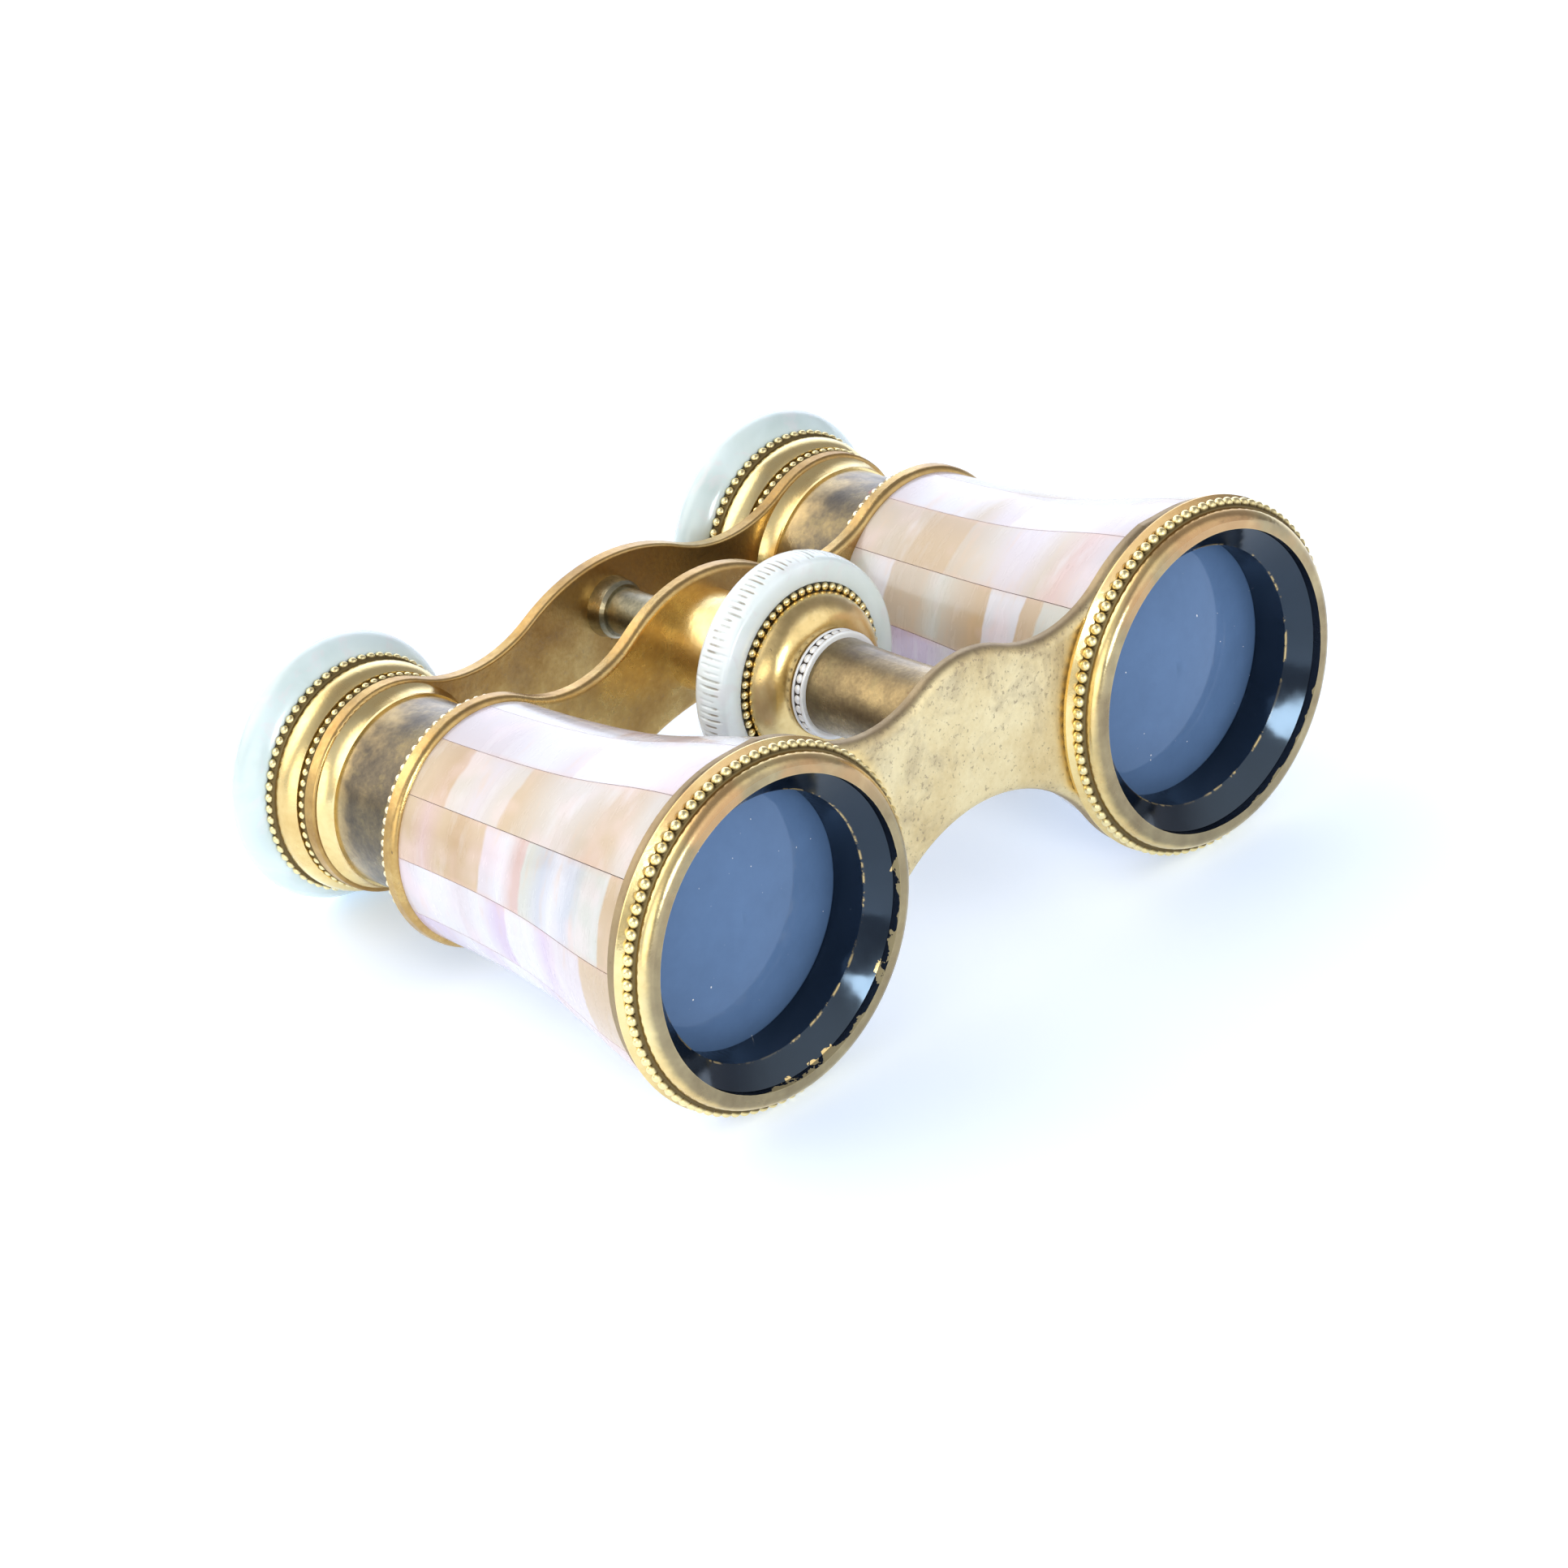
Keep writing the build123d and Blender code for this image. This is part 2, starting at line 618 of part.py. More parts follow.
# ---- focus wheel: nut, hub, bead ring, pearl rim and back plate ----------
with BuildPart() as focus_nut:
    with BuildSketch(lengthwise(0, COLUMN_RISE)):
        with BuildLine():
            Polyline(
                (NUT_FRONT, ROD_R + FIT),
                (NUT_FRONT, JOURNAL_R),
                (HUB_FRONT, JOURNAL_R),
                (HUB_FRONT, HUB_BORE_R),
                (PLATE_BACK, HUB_BORE_R),
                (PLATE_BACK, BOSS_JOURNAL_R),
                (NUT_BACK, BOSS_JOURNAL_R),
                (NUT_BACK, ROD_R + FIT),
                close=True,
            )
        make_face()
    revolve(axis=axis_at(0, COLUMN_RISE))
focus_nut.part.label = "focus_nut"
export_step(focus_nut.part, "parts/focus_nut.step")

with BuildPart() as wheel_hub:
    with BuildSketch(lengthwise(0, COLUMN_RISE)):
        with BuildLine():
            nose = Line((HUB_FRONT, HUB_BORE_R), (HUB_FRONT, HUB_NOSE_R))
            dome = ThreePointArc(nose @ 1, HUB_DOME, (WHEEL_FRONT - HUB_LIP, HUB_R))
            Polyline(
                dome @ 1,
                (WHEEL_FRONT, HUB_R),
                (WHEEL_FRONT, WHEEL_BORE_R),
                (WHEEL_BACK, WHEEL_BORE_R),
                (WHEEL_BACK, HUB_BORE_R),
                nose @ 0,
            )
        make_face()
    revolve(axis=axis_at(0, COLUMN_RISE))
wheel_hub.part.label = "wheel_hub"
export_step(wheel_hub.part, "parts/wheel_hub.step")

inside_r, crest_r, outside_r = WHEEL_BEADS_R
with BuildPart() as wheel_bead_ring:
    with BuildSketch(lengthwise(0, COLUMN_RISE)):
        with BuildLine():
            foot = Line((WHEEL_FRONT, inside_r), (WHEEL_FRONT, outside_r))
            ThreePointArc(foot @ 0, (WHEEL_FRONT - WHEEL_BEADS_RISE, crest_r), foot @ 1)
        make_face()
    revolve(axis=axis_at(0, COLUMN_RISE))
wheel_bead_ring.part.label = "wheel_bead_ring"
export_step(wheel_bead_ring.part, "parts/wheel_bead_ring.step")

wheel_middle = (WHEEL_FRONT + WHEEL_BACK) / 2
wheel_edge_r = WHEEL_R - WHEEL_CROWN
with BuildPart() as pearl_wheel:
    with BuildSketch(lengthwise(0, COLUMN_RISE)):
        with BuildLine():
            crown = ThreePointArc(
                (WHEEL_FRONT + WHEEL_EDGE, wheel_edge_r),
                (wheel_middle, WHEEL_R),
                (WHEEL_BACK - WHEEL_EDGE, wheel_edge_r),
            )
            Polyline(
                crown @ 1,
                (WHEEL_BACK, wheel_edge_r - WHEEL_EDGE),
                (WHEEL_BACK, WHEEL_BORE_R),
                (WHEEL_FRONT, WHEEL_BORE_R),
                (WHEEL_FRONT, wheel_edge_r - WHEEL_EDGE),
                crown @ 0,
            )
        make_face()
    revolve(axis=axis_at(0, COLUMN_RISE))
    with BuildSketch(crosswise(WHEEL_BACK - KNURL_MARGIN)):
        with Locations((0, COLUMN_RISE)):
            with PolarLocations(WHEEL_R + KNURL_R / 3, KNURLS):
                Circle(KNURL_R)
    extrude(amount=WHEEL_BACK - WHEEL_FRONT - 2 * KNURL_MARGIN, mode=Mode.SUBTRACT)
pearl_wheel.part.label = "pearl_wheel"
export_step(pearl_wheel.part, "parts/pearl_wheel.step")

with BuildPart() as wheel_back_plate:
    with BuildSketch(crosswise(PLATE_BACK)):
        with Locations((0, COLUMN_RISE)):
            Circle(PLATE_R)
            Circle(HUB_BORE_R, mode=Mode.SUBTRACT)
    extrude(amount=PLATE_BACK - WHEEL_BACK)
wheel_back_plate.part.label = "wheel_back_plate"
export_step(wheel_back_plate.part, "parts/wheel_back_plate.step")

# ---- focus screw, held in the rear bridge --------------------------------
with BuildPart() as focus_screw:
    with BuildSketch(lengthwise(0, COLUMN_RISE)):
        with BuildLine():
            Polyline(
                (ROD_FRONT, 0),
                (ROD_FRONT, ROD_R - ROD_EDGE),
                (ROD_FRONT + ROD_EDGE, ROD_R),
                (REAR_BRIDGE, ROD_R),
                (REAR_BRIDGE, ROD_SPIGOT_R),
                (REAR_BRIDGE_BACK, ROD_SPIGOT_R),
                (REAR_BRIDGE_BACK, SCREW_R),
                (REAR_BRIDGE_BACK - SCREW_DEPTH, SCREW_R),
                (REAR_BRIDGE_BACK - SCREW_DEPTH, 0),
                close=True,
            )
        make_face()
    revolve(axis=axis_at(0, COLUMN_RISE))
focus_screw.part.label = "focus_screw"
export_step(focus_screw.part, "parts/focus_screw.step")

with BuildPart() as rod_ferrule:
    with BuildSketch(lengthwise(0, COLUMN_RISE)):
        with BuildLine():
            Polyline(
                (REAR_BRIDGE, ROD_R),
                (REAR_BRIDGE, FERRULE_R),
                (FERRULE_FRONT + 0.4, FERRULE_R - 0.2),
                (FERRULE_FRONT, FERRULE_R - 0.5),
                (FERRULE_FRONT, ROD_R),
                close=True,
            )
        make_face()
    revolve(axis=axis_at(0, COLUMN_RISE))
rod_ferrule.part.label = "rod_ferrule"
export_step(rod_ferrule.part, "parts/rod_ferrule.step")

shank_front = REAR_BRIDGE_BACK - SCREW_DEPTH + SCREW_GAP
slot_floor = REAR_BRIDGE_BACK + SCREW_HEAD_T - SLOT_DEPTH
with BuildPart() as rod_screw:
    with BuildSketch(lengthwise(0, COLUMN_RISE)):
        with BuildLine():
            shank = Polyline(
                (REAR_BRIDGE_BACK + SCREW_HEAD_T, 0),
                (shank_front, 0),
                (shank_front, SCREW_R),
                (REAR_BRIDGE_BACK, SCREW_R),
                (REAR_BRIDGE_BACK, SCREW_HEAD_R),
                (REAR_BRIDGE_BACK + SCREW_RIM, SCREW_HEAD_R),
            )
            ThreePointArc(shank @ 1, (REAR_BRIDGE_BACK + 1.05, 1.6), shank @ 0)
        make_face()
    revolve(axis=axis_at(0, COLUMN_RISE))
    with BuildSketch(crosswise(slot_floor + 2 * SLOT_DEPTH)):
        with Locations((0, COLUMN_RISE)):
            Rectangle(3 * SCREW_HEAD_R, SLOT_WIDTH, rotation=SLOT_TURN)
    extrude(amount=2 * SLOT_DEPTH, mode=Mode.SUBTRACT)
rod_screw.part.label = "rod_screw"
export_step(rod_screw.part, "parts/rod_screw.step")
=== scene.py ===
import math
import random

import bpy
from mathutils import Matrix, Vector


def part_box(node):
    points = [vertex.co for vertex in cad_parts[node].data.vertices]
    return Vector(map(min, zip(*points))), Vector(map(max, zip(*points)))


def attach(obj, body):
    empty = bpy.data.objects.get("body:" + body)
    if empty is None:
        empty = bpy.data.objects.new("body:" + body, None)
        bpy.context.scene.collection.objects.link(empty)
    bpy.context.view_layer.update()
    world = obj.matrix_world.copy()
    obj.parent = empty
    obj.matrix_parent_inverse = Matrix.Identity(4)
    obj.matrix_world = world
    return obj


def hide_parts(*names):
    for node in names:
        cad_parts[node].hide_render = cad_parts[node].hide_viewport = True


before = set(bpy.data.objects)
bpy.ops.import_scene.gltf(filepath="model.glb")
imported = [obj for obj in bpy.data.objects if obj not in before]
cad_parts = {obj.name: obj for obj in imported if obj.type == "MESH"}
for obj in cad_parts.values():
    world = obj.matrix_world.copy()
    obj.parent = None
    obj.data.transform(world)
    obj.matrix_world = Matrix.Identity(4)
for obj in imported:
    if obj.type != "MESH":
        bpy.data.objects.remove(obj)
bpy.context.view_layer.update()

# Opera glasses: pearl-clad barrels, gilt brass bridges and beaded rings, a pearl focus
# wheel on a column, and pearl eyecups. Metres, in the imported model's frame.

MM = 0.001
SIDES = ("right", "left")


# ---- places read from the frame ------------------------------------------
def axis_of(node):
    """(x, z) of a round node's axis, which runs along Y."""
    low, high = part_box(node)
    return (low.x + high.x) / 2, (low.z + high.z) / 2


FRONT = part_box("objective_bezel_right")[0].y
BARREL_AXIS = {side: axis_of(f"objective_bezel_{side}") for side in SIDES}
COLUMN_AXIS = axis_of("column_tube")


def station(mm):
    """Y of a distance behind the objectives' rims."""
    return FRONT + mm * MM


# ---- node materials -------------------------------------------------------
class Paint:
    """A node material. Its methods add one node each and return the node's output."""

    def __init__(self, name):
        self.material = bpy.data.materials.new(name)
        self.material.use_nodes = True
        self.tree = self.material.node_tree
        self.shader = self.tree.nodes["Principled BSDF"]
        self.place = self.node("ShaderNodeTexCoord").outputs["Object"]

    def node(self, kind, inputs=None, **settings):
        made = self.tree.nodes.new(kind)
        for name, value in settings.items():
            setattr(made, name, value)
        for name, value in (inputs or {}).items():
            self.feed(made.inputs[name], value)
        return made

    def feed(self, socket, value):
        if isinstance(value, bpy.types.NodeSocket):
            self.tree.links.new(value, socket)
        else:
            socket.default_value = value

    def math(self, operation, a, b=0.0):
        return self.node("ShaderNodeMath", {0: a, 1: b}, operation=operation).outputs[0]

    def noise(self, scale, detail=3.0, rough=0.5, place=None, distortion=0.0, w=None):
        inputs = {"Scale": scale, "Detail": detail, "Roughness": rough, "Distortion": distortion}
        inputs["Vector"] = self.place if place is None else place
        dimensions = "3D"
        if w is not None:
            inputs["W"] = w
            dimensions = "4D"
        return self.node("ShaderNodeTexNoise", inputs, noise_dimensions=dimensions).outputs["Fac"]

    def smooth(self, value, low, high, start=0.0, end=1.0):
        """value, eased from start at low to end at high."""
        inputs = {"Value": value, "From Min": low, "From Max": high, "To Min": start, "To Max": end}
        made = self.node("ShaderNodeMapRange", inputs, interpolation_type="SMOOTHSTEP")
        return made.outputs["Result"]

    def ramp(self, value, stops):
        made = self.node("ShaderNodeValToRGB", {"Fac": value})
        elements = made.color_ramp.elements
        while len(elements) < len(stops):
            elements.new(0.5)
        for element, (position, colour) in zip(elements, sorted(stops)):
            element.position = position
            element.color = (*colour, 1.0)
        return made.outputs["Color"]

    def mix(self, share, a, b):
        made = self.node("ShaderNodeMix", data_type="RGBA", clamp_factor=True)
        for name, value in (("Factor_Float", share), ("A_Color", a), ("B_Color", b)):
            socket = next(s for s in made.inputs if s.identifier == name)
            if isinstance(value, tuple) and len(value) == 3:
                value = (*value, 1.0)
            self.feed(socket, value)
        return next(s for s in made.outputs if s.identifier == "Result_Color")

    def bump(self, height, distance, strength=1.0):
        inputs = {"Height": height, "Distance": distance, "Strength": strength}
        return self.node("ShaderNodeBump", inputs).outputs["Normal"]

    def separate(self):
        made = self.node("ShaderNodeSeparateXYZ", {0: self.place})
        return made.outputs["X"], made.outputs["Y"], made.outputs["Z"]

    def around(self, axis):
        """(radius, angle in turns from +X towards +Z) about an axis along Y."""
        x, _, z = self.separate()
        across = self.math("SUBTRACT", x, axis[0])
        up = self.math("SUBTRACT", z, axis[1])
        square = self.math("ADD", self.math("MULTIPLY", across, across), self.math("MULTIPLY", up, up))
        turn = self.math("DIVIDE", self.math("ARCTAN2", up, across), 2 * math.pi)
        return self.math("SQRT", square), turn

    def set(self, **sockets):
        for name, value in sockets.items():
            self.feed(self.shader.inputs[name.replace("_", " ")], value)


RED_BROWN = (0.12, 0.05, 0.02)
GREY_BROWN = (0.10, 0.08, 0.06)


def metal(name, colours, rough=(0.2, 0.4), scale=90.0, spots=0.0, grain=0.02 * MM, spot_colour=RED_BROWN):
    """Gilt or bare brass: patchy tone, fine scratches, and a few dark specks."""
    paint = Paint(name)
    patches = paint.noise(scale, 5.0, 0.6)
    fine = paint.noise(scale * 14, 3.0, 0.6)
    blend = paint.math("ADD", patches, paint.math("MULTIPLY", paint.math("SUBTRACT", fine, 0.5), 0.25))
    tone = paint.ramp(blend, colours)
    speck = paint.smooth(paint.noise(1500, 2.0, 0.6), 0.72, 0.80)
    tone = paint.mix(paint.math("MULTIPLY", speck, spots), tone, spot_colour)
    paint.set(Base_Color=tone, Metallic=1.0)
    paint.set(Roughness=paint.smooth(blend, 0.3, 0.7, *rough))
    paint.set(Normal=paint.bump(fine, grain))
    return paint


GOLD = [(0.25, (0.76, 0.53, 0.21)), (0.5, (0.90, 0.70, 0.32)), (0.75, (0.94, 0.79, 0.42))]
OLD_GOLD = [(0.3, (0.50, 0.35, 0.12)), (0.5, (0.76, 0.55, 0.22)), (0.7, (0.90, 0.71, 0.34))]
RIM_SHADE_GOLD = [(0.3, (0.20, 0.155, 0.10)), (0.6, (0.33, 0.265, 0.16)), (0.8, (0.48, 0.40, 0.24))]


def gilt():
    return metal("gilt_brass", GOLD, rough=(0.30, 0.14), spots=0.4).material


def beaded(name, crest, hollow_grime_and_shade, metallic=1.0, grime_and_shade_reach=0.1):
    """Beads: bright crests and dark hollows, by the height stored on the mesh. The dark in the hollows
    between and under the beads is grime and painted shade.
    """
    paint = Paint(name)
    height = paint.node("ShaderNodeAttribute", attribute_name="height").outputs["Fac"]
    worn = paint.noise(400, 3.0)
    level = paint.math("ADD", height, paint.math("MULTIPLY", paint.math("SUBTRACT", worn, 0.5), 0.3))
    tone = paint.ramp(level, [(grime_and_shade_reach, hollow_grime_and_shade), (0.5, crest), (0.95, crest)])
    paint.set(Base_Color=tone, Metallic=metallic, Roughness=paint.smooth(level, 0.2, 0.8, 0.5, 0.24))
    return paint.material


CHIPS_AT = -0.14  # turns from +X towards +Z: low on each rim's +X side
CHIPS_REACH = {"right": 0.13, "left": 0.06}  # turns to either side of that
CHIPS_DEPTH = {"right": 1.2 * MM, "left": 0.4 * MM}
BEZEL_BORE_R = 15.96 * MM
RIM_SHADE_START_R, RIM_SHADE_FULL_R = 17.8 * MM, 17.0 * MM  # the painted shade on the flat rim fades in between these radii
CONE_EDGE = 2.8 * MM  # depth of the black cone's inner edge, behind the rim


def worn_rim(paint, side):
    """How deep behind the rim the black paint has chipped away, all round."""
    _, turn = paint.around(BARREL_AXIS[side])
    apart = paint.math("ABSOLUTE", paint.math("SUBTRACT", turn, CHIPS_AT))
    where = paint.smooth(apart, CHIPS_REACH[side], CHIPS_REACH[side] + 0.03, 1.0, 0.08)
    bays = paint.smooth(paint.noise(420, 4.0, 0.6), 0.45, 0.61, 0.10 * MM, CHIPS_DEPTH[side])
    return paint.math("MULTIPLY", bays, where)


def bezel_metal(side):
    """Gold roll and flange, a flat rim and lower part painted darker as painted shade, and chipped black
    paint inside it.
    """
    paint = metal(f"bezel_{side}", GOLD, rough=(0.28, 0.15), spots=0.4)
    tone = paint.shader.inputs["Base Color"].links[0].from_socket
    radius, _ = paint.around(BARREL_AXIS[side])
    _, y, z = paint.separate()
    axis_z = BARREL_AXIS[side][1]
    # painted shade: the flat rim and the lower part of the bezel are painted a darker grey-brown
    shade_noise = paint.noise(260, 4.0, 0.6)
    edge = paint.math("ADD", radius, paint.math("MULTIPLY", paint.math("SUBTRACT", shade_noise, 0.5), 0.8 * MM))
    low = paint.smooth(z, axis_z - 4 * MM, axis_z - 16 * MM, 0.0, 0.35)
    rim_shade = paint.math("MAXIMUM", paint.smooth(edge, RIM_SHADE_START_R, RIM_SHADE_FULL_R, 0.0, 0.88), low)
    tone = paint.mix(rim_shade, tone, paint.ramp(shade_noise, RIM_SHADE_GOLD))
    # a painted reddish reflection, in patches near the top
    red = paint.smooth(z, axis_z + 4 * MM, axis_z + 16 * MM, 0.0, 0.55)
    red = paint.math("MULTIPLY", red, paint.smooth(paint.noise(110, 3.0), 0.42, 0.58))
    tone = paint.mix(red, tone, (0.66, 0.36, 0.16))
    inside = paint.smooth(radius, BEZEL_BORE_R + 0.01 * MM, BEZEL_BORE_R)
    depth = paint.math("SUBTRACT", y, FRONT)
    kept = paint.math("GREATER_THAN", depth, worn_rim(paint, side))
    painted = paint.math("MULTIPLY", inside, kept)
    chipped = paint.math("SUBTRACT", inside, painted)
    tone = paint.mix(painted, tone, (0.006, 0.008, 0.014))
    tone = paint.mix(chipped, tone, (0.62, 0.48, 0.24))
    metallic = paint.math("SUBTRACT", 1.0, paint.math("MULTIPLY", chipped, 0.7))
    paint.set(Base_Color=tone, Metallic=paint.math("SUBTRACT", metallic, painted))
    return paint.material


def black_lacquer(side):
    """Glossy black cone, with gold where the rim and the aperture's edge have worn."""
    paint = Paint(f"black_lacquer_{side}")
    _, y, _ = paint.separate()
    depth = paint.math("SUBTRACT", y, FRONT)
    rub = paint.smooth(paint.noise(700, 3.0, 0.7), 0.46, 0.56)
    edge = paint.math("ABSOLUTE", paint.math("SUBTRACT", depth, CONE_EDGE))
    gaps = paint.math("MULTIPLY", rub, paint.smooth(paint.noise(120, 2.0), 0.42, 0.52, 0.1, 1.0))
    worn = paint.math("MULTIPLY", paint.smooth(edge, 0.03 * MM, 0.16 * MM, 0.8, 0.0), gaps)
    chip = paint.math("LESS_THAN", depth, worn_rim(paint, side))
    bare = paint.math("MAXIMUM", worn, chip)
    # painted reflection: the blacks are tinted blue to stand in for bluish light on the cone
    blacks = [(0.3, (0.002, 0.004, 0.008)), (0.7, (0.006, 0.010, 0.018))]
    mottle = paint.ramp(paint.noise(180, 4.0, 0.6), blacks)
    paint.set(Base_Color=paint.mix(bare, mottle, (0.75, 0.55, 0.25)), Metallic=bare)
    paint.set(Roughness=paint.smooth(paint.noise(300, 3.0), 0.3, 0.7, 0.08, 0.16))
    # the cone flares towards the rim: its normals lean inwards further down
    flare_top, flare_curve = 0.8 * MM, -22.0
    down = paint.math("SUBTRACT", depth, flare_top)
    flare = paint.math("MULTIPLY", paint.math("MULTIPLY", down, down), flare_curve)
    ripple = paint.math("MULTIPLY", paint.noise(240, 2.0), 0.03 * MM)
    paint.set(Specular_IOR_Level=0.75, Normal=paint.bump(paint.math("ADD", flare, ripple), 1.0))
    # painted reflection: a blue tint on the cone's reflections
    paint.shader.inputs["Specular Tint"].default_value = (0.62, 0.80, 1.0, 1.0)
    return paint.material


def blackened():
    """Flat black inside the tubes."""
    paint = Paint("blackened_inside")
    tone = paint.ramp(paint.noise(300, 4.0), [(0.3, (0.004, 0.005, 0.006)), (0.7, (0.012, 0.014, 0.016))])
    paint.set(Base_Color=tone, Roughness=paint.smooth(paint.noise(500), 0.3, 0.7, 0.5, 0.7))
    return paint.material


def bridge_metal(node, tarnish, colours, rough, edge_wear_and_shade=0.0, polish=0.0):
    """Matte gilding, with grey-brown tarnish that gathers towards the hump."""
    specks = {"spots": 0.7, "spot_colour": GREY_BROWN}
    paint = metal(f"{node}_brass", colours, rough, scale=120, grain=0.03 * MM, **specks)
    tone = paint.shader.inputs["Base Color"].links[0].from_socket
    _, _, z = paint.separate()
    hump_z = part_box(node)[1].z
    high = paint.smooth(z, hump_z - 14 * MM, hump_z - 2 * MM)
    smears = paint.noise(150, 6.0, 0.65, distortion=0.6)
    pepper = paint.noise(1900, 3.0, 0.7)
    smear = paint.smooth(paint.math("ADD", smears, paint.math("MULTIPLY", high, 0.14)), 0.50, 0.76)
    speckle = paint.smooth(paint.math("ADD", pepper, paint.math("MULTIPLY", smear, 0.14)), 0.58, 0.70)
    stain = paint.math("MAXIMUM", paint.math("MULTIPLY", smear, 0.6), paint.math("MULTIPLY", speckle, 0.8))
    tone = paint.mix(paint.math("MULTIPLY", stain, tarnish), tone, (0.33, 0.25, 0.16))
    # the plate's edges, painted brown: worn gilding and a painted dark reflection
    facing = paint.node("ShaderNodeSeparateXYZ", {0: paint.node("ShaderNodeTexCoord").outputs["Normal"]})
    edge = paint.smooth(paint.math("ABSOLUTE", facing.outputs["Y"]), 0.75, 0.25, 0.0, edge_wear_and_shade)
    tone = paint.mix(edge, tone, (0.30, 0.22, 0.13))
    # the gilding stays bright and smooth on the face, close to the barrels
    near = [paint.smooth(paint.around(BARREL_AXIS[side])[0], 20.4 * MM, 18.9 * MM) for side in SIDES]
    face = paint.smooth(paint.math("ABSOLUTE", facing.outputs["Y"]), 0.9, 0.99)
    bright = paint.math("MULTIPLY", paint.math("MULTIPLY", paint.math("MAXIMUM", *near), polish), face)
    tone = paint.mix(bright, tone, (0.86, 0.62, 0.24))
    matte = paint.shader.inputs["Roughness"].links[0].from_socket
    smoother = paint.smooth(bright, 0.0, 1.0, 1.0, 0.3)
    paint.set(Base_Color=tone, Roughness=paint.math("MULTIPLY", matte, smoother))
    return paint.material


def worn_brass(name, stains, axis=None, inside_r=None, handled_to=None):
    """Bare brass handled to olive and brown, up to a station, and blackened inside a radius."""
    paint = metal(name, stains, rough=(0.42, 0.24), scale=170, spots=0.5, grain=0.03 * MM)
    tone = paint.shader.inputs["Base Color"].links[0].from_socket
    blotch = paint.smooth(paint.noise(420, 4.0, 0.65), 0.55, 0.68)
    tone = paint.mix(paint.math("MULTIPLY", blotch, 0.45), tone, (0.22, 0.17, 0.07))
    red = paint.smooth(paint.noise(330, 2.0, 0.5, w=7.0), 0.69, 0.74)
    tone = paint.mix(paint.math("MULTIPLY", red, 0.7), tone, (0.25, 0.05, 0.02))
    if handled_to is not None:
        _, y, _ = paint.separate()
        wander = paint.math("MULTIPLY", paint.math("SUBTRACT", paint.noise(200, 4.0, 0.6), 0.5), 12 * MM)
        bright = paint.smooth(paint.math("ADD", y, wander), handled_to, handled_to + 6 * MM, 0.0, 0.85)
        tone = paint.mix(bright, tone, (0.62, 0.45, 0.20))
    paint.set(Coat_Weight=0.5, Coat_Roughness=0.2)
    if inside_r is not None:
        radius, _ = paint.around(axis)
        inside = paint.smooth(radius, inside_r + 0.05 * MM, inside_r - 0.05 * MM)
        tone = paint.mix(inside, tone, (0.01, 0.01, 0.012))
        paint.set(Metallic=paint.math("SUBTRACT", 1.0, inside))
    paint.set(Base_Color=tone)
    return paint.material


# Tones of mother-of-pearl, and each slat's bands from the flange to the neck. A bar is a
# sharp edge between two bands; the others melt into each other. The white on the top
# slats is partly nacre and partly a painted sheen.
TONES = {
    "W": (0.67, 0.66, 0.70),  # white
    "P": (0.61, 0.55, 0.58),  # pinkish white
    "B": (0.59, 0.42, 0.38),  # blush
    "E": (0.55, 0.46, 0.36),  # beige
    "T": (0.54, 0.40, 0.25),  # tan
    "D": (0.49, 0.33, 0.18),  # deep tan
    "G": (0.56, 0.56, 0.51),  # greenish white
    "K": (0.50, 0.52, 0.58),  # bluish grey
    "L": (0.56, 0.46, 0.60),  # lilac
    "C": (0.58, 0.52, 0.46),  # cream
}
BANDS = {
    "right": (
        "PWEWWPGWPW", "WWPWWWPWWW", "PWWWW|PWWPPP", "CTTECCET|CPC|DT", "T|GGKWKG|BWP|TDTBT",
        "TT|PPLWW|LWPWWP", "BBPB|LWWLWLL", "WPEEWGPWW", "TEWW|PBTEW", "PWWGEETP", "WPBT|WWEP", "GEWPPW|TE",
    ),
    "left": (
        "WPEWGWPEW", "EWWPTEWWP", "PPWWWW|PEWWWP", "PBEPPCE|TTEE", "GG|T|WW|TEGEE|WG", "LLBLLPLLPL",
        "WEPWTBWPE", "PWWGEETP", "TEWWPBTEW", "WPEEWGPWW", "WPBTWWEP", "GEWPPWTE",
    ),
}
SLAT_START = {"right": 22, "left": 17}  # degrees from +X towards +Z, where the first slat starts
SLATS = 12
PEARL_FRONT, PEARL_BACK = station(5.0), station(41.4)
SHARP = 0.004  # half width of a sharp edge, as a share of the slat


def band_stops(bands):
    """Colour stops for one slat's letters, spread evenly along it."""
    letters = bands.replace("|", "")
    stops, place = [], 0
    for mark in bands:
        if mark == "|":
            edge = place / len(letters)
            stops += [(edge - SHARP, TONES[letters[place - 1]]), (edge + SHARP, TONES[letters[place]])]
        else:
            stops.append(((place + 0.5) / len(letters), TONES[mark]))
            place += 1
    return stops


